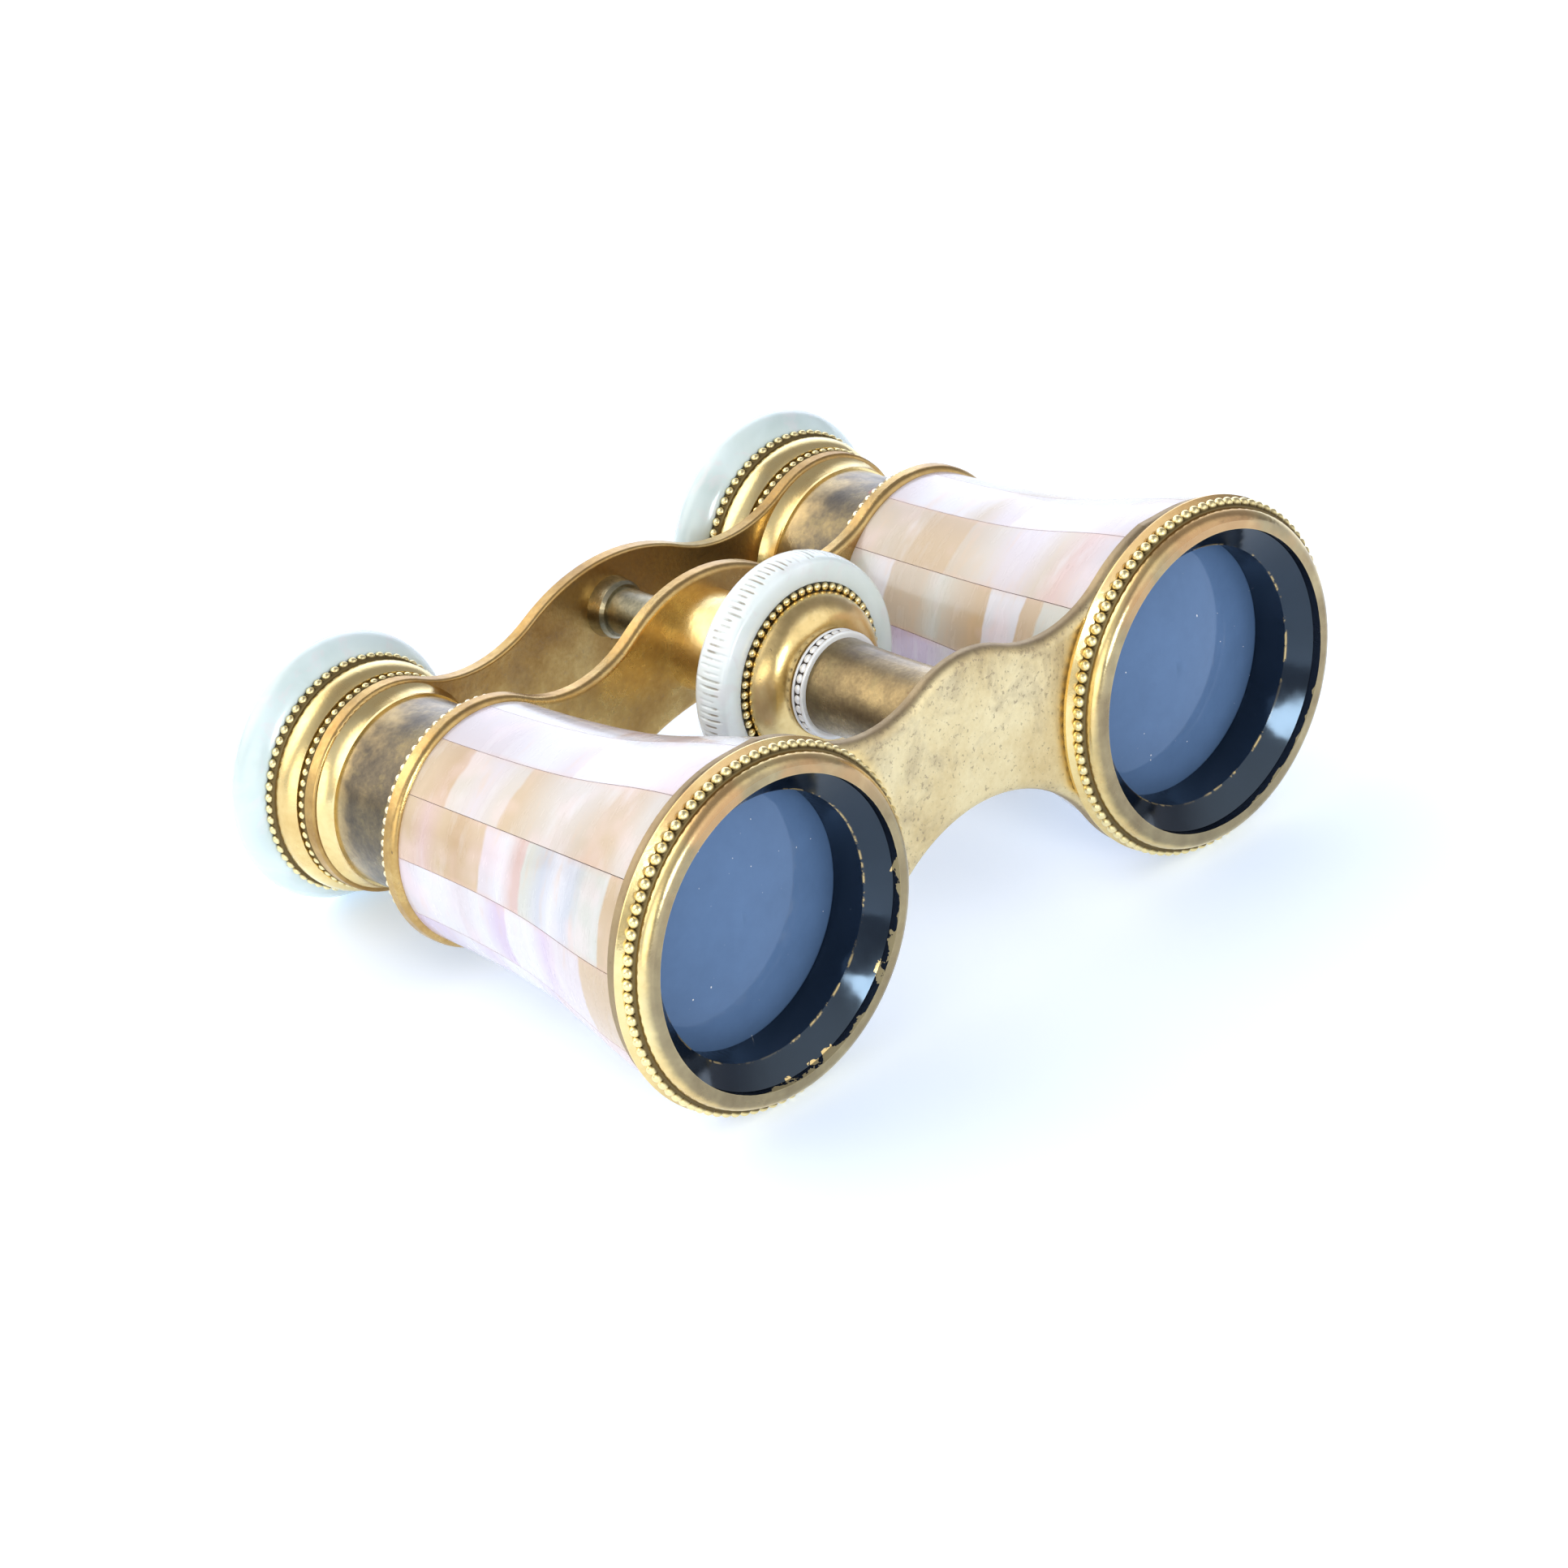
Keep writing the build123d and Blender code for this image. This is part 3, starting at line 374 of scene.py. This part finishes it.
def pearl_slats(side):
    """Mother-of-pearl in lengthwise slats, each banded across on its own."""
    paint = Paint(f"pearl_slats_{side}")
    _, turn = paint.around(BARREL_AXIS[side])
    _, y, _ = paint.separate()
    turns = paint.math("FRACT", paint.math("ADD", turn, 1.0 - SLAT_START[side] / 360))
    count = paint.math("MULTIPLY", turns, SLATS)
    slat = paint.math("FLOOR", count)
    across = paint.math("SUBTRACT", count, slat)
    apart = paint.math("MULTIPLY", slat, 3.7)  # keeps each slat's clouds its own
    share = paint.math("DIVIDE", paint.math("SUBTRACT", y, PEARL_FRONT), PEARL_BACK - PEARL_FRONT)
    swirl = paint.math("SUBTRACT", paint.noise(90, 3.0, 0.5, w=apart), 0.5)
    fray = paint.math("SUBTRACT", paint.noise(700, 2.0, 0.5, w=apart), 0.5)
    share = paint.math("ADD", share, paint.math("MULTIPLY", swirl, 0.09))
    share = paint.math("ADD", share, paint.math("MULTIPLY", fray, 0.012))
    tone = paint.ramp(share, band_stops(BANDS[side][0]))
    for index in range(1, SLATS):
        here = paint.math("COMPARE", slat, index)
        tone = paint.mix(here, tone, paint.ramp(share, band_stops(BANDS[side][index])))
    # veins: pale and tan clouds, drawn out across the slat
    stretched = paint.node("ShaderNodeMapping", {"Vector": paint.place, "Scale": (0.45, 1.6, 0.45)})
    cloud = paint.noise(330, 4.0, 0.55, place=stretched.outputs[0], w=apart)
    tone = paint.mix(paint.smooth(cloud, 0.52, 0.75, 0.0, 0.40), tone, (0.74, 0.73, 0.75))
    tone = paint.mix(paint.smooth(cloud, 0.46, 0.27, 0.0, 0.35), tone, (0.66, 0.46, 0.30))
    blush = paint.smooth(paint.noise(150, 2.0, 0.5, w=paint.math("ADD", apart, 50.0)), 0.5, 0.7, 0.0, 0.3)
    tone = paint.mix(blush, tone, (0.88, 0.66, 0.70))
    # thin joints between the slats, and a stain beside them
    middle = paint.math("ABSOLUTE", paint.math("SUBTRACT", across, 0.5))
    beside = paint.smooth(middle, 0.40, 0.5, 0.0, 0.30)
    stain = paint.math("MULTIPLY", beside, paint.smooth(swirl, -0.1, 0.1))
    tone = paint.mix(stain, tone, (0.66, 0.44, 0.34))
    tone = paint.mix(paint.smooth(middle, 0.485, 0.495, 0.0, 0.24), tone, (0.42, 0.24, 0.20))
    grain = paint.noise(1100, 3.0, 0.6, w=slat)
    paint.set(Base_Color=tone, Roughness=paint.smooth(cloud, 0.3, 0.7, 0.20, 0.32))
    paint.set(Coat_Weight=0.5, Coat_Roughness=0.10)
    paint.set(Normal=paint.bump(paint.math("ADD", grain, paint.math("MULTIPLY", cloud, 2.0)), 0.01 * MM, 0.6))
    return paint.material


def pale_pearl(name, tones, grime=0.0):
    """Turned white pearl: milky, faintly green and grey."""
    paint = Paint(name)
    cloud = paint.noise(120, 3.0, 0.5, distortion=0.8)
    veil = paint.noise(60, 2.0, 0.5, w=3.0)
    tone = paint.ramp(cloud, tones)
    tone = paint.mix(paint.smooth(veil, 0.45, 0.7, 0.0, 0.4), tone, (0.64, 0.70, 0.64))
    fold = paint.noise(210, 4.0, 0.6, w=9.0, distortion=1.6)
    tone = paint.mix(paint.smooth(fold, 0.52, 0.66, 0.0, 0.35), tone, (0.74, 0.68, 0.70))
    if grime:
        height = paint.node("ShaderNodeAttribute", attribute_name="height").outputs["Fac"]
        patchy = paint.smooth(paint.noise(420, 3.0), 0.36, 0.62)
        dirt = paint.math("MULTIPLY", paint.smooth(height, 0.85, 0.25), patchy)
        tone = paint.mix(paint.math("MULTIPLY", dirt, grime), tone, (0.24, 0.19, 0.11))
    paint.set(Base_Color=tone, Roughness=paint.smooth(cloud, 0.3, 0.7, 0.16, 0.26))
    paint.set(Specular_IOR_Level=0.6, Subsurface_Weight=0.25, Subsurface_Scale=1.5 * MM, Coat_Weight=0.3)
    paint.shader.inputs["Subsurface Radius"].default_value = (1.0, 1.0, 0.9)
    paint.set(Normal=paint.bump(cloud, 0.03 * MM))
    return paint.material


def lens_glass(name, haze_and_reflection, clear, gloss):
    """Old glass: a share is clear, the rest a hazy blue tone with specks of dust. The blue tone is a painted
    reflection: it stands in for the pale room mirrored in the glass.
    """
    paint = Paint(name)
    dust = paint.smooth(paint.noise(2300, 1.0, 0.5), 0.79, 0.82)
    haze = paint.noise(200, 4.0, 0.7)
    tone = paint.ramp(haze, [(0.3, tuple(0.94 * c for c in haze_and_reflection)), (0.7, tuple(1.06 * c for c in haze_and_reflection))])
    paint.set(Base_Color=paint.mix(dust, tone, (0.9, 0.85, 0.8)))
    smoothness = paint.smooth(haze, 0.3, 0.7, 0.03, 0.08)
    paint.set(Roughness=paint.math("ADD", paint.math("MULTIPLY", dust, 0.6), smoothness))
    paint.set(IOR=1.53, Transmission_Weight=clear, Specular_IOR_Level=gloss)
    # painted reflection: a blue tint on the glass's reflections
    paint.shader.inputs["Specular Tint"].default_value = (0.55, 0.72, 1.0, 1.0)
    return paint.material


# ---- meshes ---------------------------------------------------------------
def ring_mesh(name, axis, angles, rows, heights):
    """A closed ring about an axis along Y. rows is one loop of (y, radius) per angle, in turns."""
    turns, points = len(rows), len(rows[0])
    vertices = []
    for share, row in zip(angles, rows):
        c, s = math.cos(2 * math.pi * share), math.sin(2 * math.pi * share)
        vertices += [(axis[0] + r * c, y, axis[1] + r * s) for y, r in row]
    faces = []
    for i in range(turns):
        a, b = i * points, (i + 1) % turns * points
        for k in range(points):
            n = (k + 1) % points
            faces.append((a + k, b + k, b + n, a + n))
    mesh = bpy.data.meshes.new(name)
    mesh.from_pydata(vertices, [], faces)
    store = mesh.attributes.new("height", "FLOAT", "POINT")
    store.data.foreach_set("value", [h for row in heights for h in row])
    mesh.shade_smooth()
    made = bpy.data.objects.new(name, mesh)
    bpy.context.scene.collection.objects.link(made)
    return made


def bead_ring(name, axis, foot, edge_a, edge_b, band, crest, beads, outward=True, lip=0.0,
              material=None, node=None, body=None):
    """A band with a row of round beads along it.

    outward: stations edge_a to edge_b, heights are radii. Otherwise the beads stand on a
    face that looks forward: radii edge_a to edge_b, and heights are stations. lip is the
    width of a flush border on both edges; the beads then lie sunk between the borders.
    """
    pitch = 2 * math.pi * (crest if outward else (edge_a + edge_b) / 2) / beads
    bead_r = min((edge_b - edge_a) / 2, pitch * 0.49)
    bead_across = bead_r if lip == 0 else (edge_b - edge_a) / 2 - lip
    middle = (edge_a + edge_b) / 2
    steps = [math.radians(t) for t in range(-90, 91, 15)]
    around_bead = [(math.sin(t) * bead_r / pitch, max(math.cos(t), 0.12)) for t in steps]
    arc = [math.radians(t) for t in range(0, 181, 15)]
    side_height = 1 if lip else 0
    rows, heights, turns = [], [], []
    for bead in range(beads):
        for shift, size in around_bead:
            turns.append((bead + shift) / beads)
            loop = [(edge_a, foot, side_height), (edge_a, band, side_height)]
            if lip:
                loop += [(edge_a, crest, 1), (edge_a + lip, crest, 1), (edge_a + lip, band, 0)]
            for t in arc:
                across = middle - math.cos(t) * bead_across * size
                rise = math.sin(t) * size
                loop.append((across, band + (crest - band) * rise, rise))
            if lip:
                loop += [(edge_b - lip, band, 0), (edge_b - lip, crest, 1), (edge_b, crest, 1)]
            loop += [(edge_b, band, side_height), (edge_b, foot, side_height)]
            heights.append([h for _, _, h in loop])
            if outward:
                rows.append([(station(a), b * MM) for a, b, _ in loop])
            else:
                rows.append([(station(b), a * MM) for a, b, _ in reversed(loop)])
                heights[-1].reverse()
    made = ring_mesh(name, axis, turns, rows, heights)
    made.data.materials.append(material)
    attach(made, body)
    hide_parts(node)


def pearl_wheel(name, axis, material):
    """The focus wheel's pearl rim, filed across with fine worn grooves, in mm.

    Each groove has its own depth and plain ends, and comes up to the surface over run_out.
    """
    grooves, steps, spans = 108, 8, 12
    front, back = 26.4, 30.6
    bore_r, wheel_r, edge, crown = 7.9, 12.3, 0.5, 0.25
    plain, run_out, sharpness = 0.6, 0.35, 1.5
    random.seed(11)
    depth = [random.uniform(0.02, 0.24) for _ in range(grooves)]
    ends = [(random.uniform(0.5, 1.9), random.uniform(0.5, 2.3)) for _ in range(grooves)]
    stations = [front + edge + (back - front - 2 * edge) * k / spans for k in range(spans + 1)]
    middle, half = (front + back) / 2, (back - front) / 2 - edge
    shoulder_r, round_r = wheel_r - crown - edge, wheel_r - crown - edge * 0.3
    rows, heights, turns = [], [], []
    for groove in range(grooves):
        for step in range(steps):
            turn = (groove + step / steps) / grooves
            cut = max(0.0, math.cos(2 * math.pi * (step / steps - 0.5))) ** sharpness
            loop = [(front, bore_r, 1), (front, shoulder_r, 1), (front + edge * 0.3, round_r, 1)]
            for s in stations:
                surface = wheel_r - crown * ((s - middle) / half) ** 2
                start = (s - front - ends[groove][0] * plain) / run_out
                stop = (back - ends[groove][1] * plain - s) / run_out
                share = min(1.0, max(0.0, start)) * min(1.0, max(0.0, stop)) * cut
                loop.append((s, surface - depth[groove] * share, 1 - share))
            loop += [(back - edge * 0.3, round_r, 1), (back, shoulder_r, 1), (back, bore_r, 1)]
            rows.append([(station(s), r * MM) for s, r, _ in loop])
            heights.append([h for _, _, h in loop])
            turns.append(turn)
    made = ring_mesh(name, axis, turns, rows, heights)
    made.data.materials.append(material)
    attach(made, "focus_wheel")
    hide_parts("pearl_wheel")


# ---- finishes of the CAD nodes --------------------------------------------
def finish_node(name, material):
    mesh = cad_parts[name].data
    mesh.materials.clear()
    mesh.materials.append(material)


CUP_PEARL = [(0.3, (0.54, 0.64, 0.63)), (0.5, (0.62, 0.72, 0.72)), (0.7, (0.69, 0.79, 0.80))]
WHEEL_PEARL = [(0.3, (0.68, 0.76, 0.75)), (0.5, (0.77, 0.83, 0.82)), (0.7, (0.84, 0.88, 0.89))]
TUBE_BROWN = [(0.3, (0.055, 0.042, 0.028)), (0.5, (0.11, 0.085, 0.050)), (0.7, (0.22, 0.165, 0.075))]
GILT = gilt()
BLACK = blackened()
FRONT_GLASS = lens_glass("front_glass", (0.098, 0.166, 0.300), clear=0.08, gloss=0.35)
REAR_GLASS = lens_glass("rear_glass", (0.03, 0.05, 0.09), clear=0.50, gloss=0.1)
EYE_GLASS = lens_glass("eye_glass", (0.30, 0.40, 0.50), clear=0.85, gloss=0.6)
GOLD_BEADS = beaded("gold_beads", (0.92, 0.77, 0.40), (0.17, 0.12, 0.05), grime_and_shade_reach=0.2)
# the silvered crests are painted near-white with little metal: silvering and a painted highlight
SILVER_AND_HIGHLIGHT_BEADS = beaded("silvered_and_highlight_beads", (0.96, 0.97, 0.98), (0.07, 0.05, 0.04), metallic=0.2, grime_and_shade_reach=0.35)
PALE_BEADS = beaded("pale_gold_beads", (0.88, 0.76, 0.50), (0.34, 0.25, 0.12))
DRAW_TUBE_BORE_R = 9.6 * MM

# Bead rings on each barrel, in mm: radius of the foot, first and last station, radii of the
# band and of the crests, number of beads, their material and the body that they ride on.
BARREL_RINGS = {
    "objective": (17.6, 1.4, 2.7, 18.05, 18.75, 92, GOLD_BEADS, "body"),
    "neck": (9.95, 43.0, 43.8, 12.65, 12.92, 71, PALE_BEADS, "body"),
    "collar": (9.9, 57.4, 58.2, 11.15, 11.42, 62, GOLD_BEADS, "eyepiece_carriage"),
    "eyecup": (10.6, 61.1, 62.1, 12.15, 12.58, 64, GOLD_BEADS, "eyepiece_carriage"),
}

for side in SIDES:
    centre = BARREL_AXIS[side]
    for piece in ("barrel_tube", "guide_sleeve", "stop_ring", "ocular_retainer"):
        finish_node(f"{piece}_{side}", BLACK)
    finish_node(f"pearl_slats_{side}", pearl_slats(side))
    finish_node(f"objective_bezel_{side}", bezel_metal(side))
    finish_node(f"objective_retainer_{side}", black_lacquer(side))
    finish_node(f"objective_crown_{side}", FRONT_GLASS)
    finish_node(f"objective_flint_{side}", REAR_GLASS)
    finish_node(f"ocular_lens_{side}", EYE_GLASS)
    tube = worn_brass(f"draw_tube_brass_{side}", TUBE_BROWN, centre, DRAW_TUBE_BORE_R, handled_to=station(50))
    finish_node(f"draw_tube_{side}", tube)
    finish_node(f"tube_collar_{side}", GILT)
    finish_node(f"eyepiece_cell_{side}", GILT)
    finish_node(f"eyecup_{side}", pale_pearl(f"eyecup_pearl_{side}", CUP_PEARL))
    for ring, (*sizes, beads, material, body) in BARREL_RINGS.items():
        bead_ring(f"{ring}_beads_{side}", centre, *sizes, beads,
                  material=material, node=f"{ring}_bead_ring_{side}", body=body)

SAND = [(0.3, (0.66, 0.52, 0.28)), (0.5, (0.75, 0.62, 0.36)), (0.7, (0.82, 0.70, 0.43))]
AMBER = [(0.3, (0.38, 0.22, 0.07)), (0.5, (0.53, 0.34, 0.12)), (0.7, (0.68, 0.49, 0.20))]
BRIDGE_WEAR = {
    "front_bridge": {"tarnish": 0.9, "colours": SAND, "rough": (0.55, 0.42), "edge_wear_and_shade": 0.8, "polish": 0.6},
    "middle_bridge": {"tarnish": 0.3, "colours": AMBER, "rough": (0.36, 0.24)},
    "rear_bridge": {"tarnish": 0.4, "colours": AMBER, "rough": (0.42, 0.28)},
}
for bridge, wear in BRIDGE_WEAR.items():
    finish_node(bridge, bridge_metal(bridge, **wear))

OLIVE = [(0.3, (0.11, 0.072, 0.028)), (0.5, (0.20, 0.140, 0.058)), (0.7, (0.34, 0.245, 0.105))]
GREY_GREEN = [(0.3, (0.14, 0.13, 0.08)), (0.5, (0.34, 0.30, 0.19)), (0.7, (0.56, 0.46, 0.28))]
finish_node("column_tube", worn_brass("column_brass", OLIVE))
finish_node("column_boss", metal("boss_brass", GOLD, rough=(0.34, 0.22), spots=0.3).material)
hub = metal("hub_brass", OLD_GOLD, rough=(0.28, 0.20), spots=0.5)
hub.set(Coat_Weight=1.0, Coat_Roughness=0.22)
finish_node("wheel_hub", hub.material)
finish_node("wheel_back_plate", GILT)
finish_node("focus_nut", worn_brass("nut_brass", OLIVE))
finish_node("focus_screw", worn_brass("screw_brass", GREY_GREEN))
finish_node("rod_ferrule", worn_brass("ferrule_brass", GREY_GREEN))
finish_node("rod_screw", metal("rod_screw_brass", OLD_GOLD, spots=0.6).material)
bead_ring("column_beads", COLUMN_AXIS, foot=3.55, edge_a=21.9, edge_b=23.25, band=5.3, crest=5.6, beads=31,
          lip=0.2, material=SILVER_AND_HIGHLIGHT_BEADS, node="column_bead_ring", body="body")
bead_ring("wheel_beads", COLUMN_AXIS, foot=26.5, edge_a=8.7, edge_b=9.6, band=26.4, crest=25.95, beads=53,
          outward=False, material=GOLD_BEADS, node="wheel_bead_ring", body="focus_wheel")
pearl_wheel("pearl_wheel_rim", COLUMN_AXIS, pale_pearl("wheel_pearl", WHEEL_PEARL, grime=0.8))


# ---- stage, light and camera ----------------------------------------------
def stage_floor():
    """A pale table, lit from below too, that the flanges and both eyecups stand on."""
    ring_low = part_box("objective_bezel_right")[0]
    cup_low, cup_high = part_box("eyecup_right")
    front_y, back_y = station(3.4), (cup_low.y + cup_high.y) / 2  # where it touches them
    slope = (cup_low.z - ring_low.z) / (back_y - front_y)
    reach, gap = 2.5, 0.02 * MM
    corners = [(sx * reach, sy * reach) for sx, sy in ((-1, -1), (1, -1), (1, 1), (-1, 1))]
    mesh = bpy.data.meshes.new("floor")
    lift = ring_low.z - gap
    mesh.from_pydata([(x, y, lift + slope * (y - front_y)) for x, y in corners], [], [(0, 1, 2, 3)])
    floor = bpy.data.objects.new("floor", mesh)
    bpy.context.scene.collection.objects.link(floor)
    paint = Paint("white_table")
    tone = paint.ramp(paint.noise(40, 2.0), [(0.3, (0.86, 0.87, 0.89)), (0.7, (0.88, 0.89, 0.90))])
    paint.set(Base_Color=tone, Roughness=0.8, Specular_IOR_Level=0.2, Emission_Strength=1.0)
    paint.shader.inputs["Emission Color"].default_value = (0.25, 0.32, 0.42, 1.0)
    mesh.materials.append(paint.material)


def towards(azimuth, elevation):
    """Unit vector, from an azimuth that is 0 at the objectives' front and 90 at +X."""
    a, e = math.radians(azimuth), math.radians(elevation)
    return Vector((math.sin(a) * math.cos(e), -math.cos(a) * math.cos(e), math.sin(e)))


def window_light(azimuth, elevation, distance, width, height, radiance, colour):
    data = bpy.data.lights.new("window", "AREA")
    data.shape = "RECTANGLE"
    data.size, data.size_y = width, height
    data.energy = math.pi * width * height * radiance
    data.color = colour
    lamp = bpy.data.objects.new("window", data)
    bpy.context.scene.collection.objects.link(lamp)
    lamp.location = towards(azimuth, elevation) * distance
    lamp.rotation_euler = lamp.location.to_track_quat("Z", "Y").to_euler()


# Soft bright parts of the room: azimuth, elevation, half width in degrees, colour.
GLOWS = (
    (-145, 40, 42, (2.00, 1.90, 1.72)),
    (-105, 30, 70, (0.35, 0.37, 0.40)),
    (150, 12, 50, (1.70, 1.85, 2.20)),
    (-68, 8, 34, (1.75, 1.72, 1.50)),
    (20, 15, 55, (0.93, 0.96, 0.96)),
)


def room_light():
    """A soft room: brightest behind the eyecups and towards -X, dim overhead."""
    world = bpy.data.worlds.new("room")
    bpy.context.scene.world = world
    world.use_nodes = True
    tree = world.node_tree
    direction = tree.nodes.new("ShaderNodeTexCoord").outputs["Generated"]
    total = tree.nodes.new("ShaderNodeRGB").outputs[0]
    total.default_value = (0.34, 0.34, 0.37, 1.0)
    for azimuth, elevation, width, colour in GLOWS:
        angle = tree.nodes.new("ShaderNodeVectorMath")
        angle.operation = "DOT_PRODUCT"
        tree.links.new(direction, angle.inputs[0])
        angle.inputs[1].default_value = towards(azimuth, elevation)
        glow = tree.nodes.new("ShaderNodeMapRange")
        glow.interpolation_type = "SMOOTHERSTEP"
        tree.links.new(angle.outputs["Value"], glow.inputs["Value"])
        glow.inputs["From Min"].default_value = math.cos(math.radians(width))
        tinted = tree.nodes.new("ShaderNodeMix")
        tinted.data_type = "RGBA"
        tinted.blend_type = "ADD"
        # a Mix node's inputs 0, 6 and 7 are its factor and two colours; output 2 is the colour
        tree.links.new(glow.outputs["Result"], tinted.inputs[0])
        tree.links.new(total, tinted.inputs[6])
        tinted.inputs[7].default_value = (*colour, 1.0)
        total = tinted.outputs[2]
    tree.links.new(total, tree.nodes["Background"].inputs["Color"])


def photo_camera():
    """The viewing angle: from the wearer's front right, above, with a slight roll."""
    azimuth, elevation, roll = -0.7162679677, 0.4741373313, -0.1339616125  # radians
    looked_at = 20.667  # station, in mm
    distance, shift_right, shift_up = 0.614315, -0.0074105, -0.0032006
    focal_length, sensor = 140.457, 36.0  # mm
    target = Vector((0, station(looked_at), BARREL_AXIS["right"][1]))
    back = Vector((
        math.sin(azimuth) * math.cos(elevation),
        -math.cos(azimuth) * math.cos(elevation),
        math.sin(elevation),
    ))
    level = (-back).cross(Vector((0, 0, 1))).normalized()
    up = level.cross(-back)
    right = math.cos(roll) * level + math.sin(roll) * up
    top = -math.sin(roll) * level + math.cos(roll) * up
    data = bpy.data.cameras.new("camera")
    data.sensor_width = sensor
    data.lens = focal_length
    data.clip_start = 0.05
    data.clip_end = 20.0
    camera = bpy.data.objects.new("camera", data)
    bpy.context.scene.collection.objects.link(camera)
    place = target + distance * back + shift_right * right + shift_up * top
    turn = Matrix((right, top, back)).transposed().to_4x4()
    camera.matrix_world = Matrix.Translation(place) @ turn
    bpy.context.scene.camera = camera


stage_floor()
room_light()
window_light(azimuth=-15, elevation=18, distance=1.2, width=0.24, height=0.38,
             radiance=15.0, colour=(0.82, 0.93, 1.0))
photo_camera()
bpy.context.scene.view_settings.view_transform = "Standard"
bpy.context.scene.view_settings.exposure = 0.0
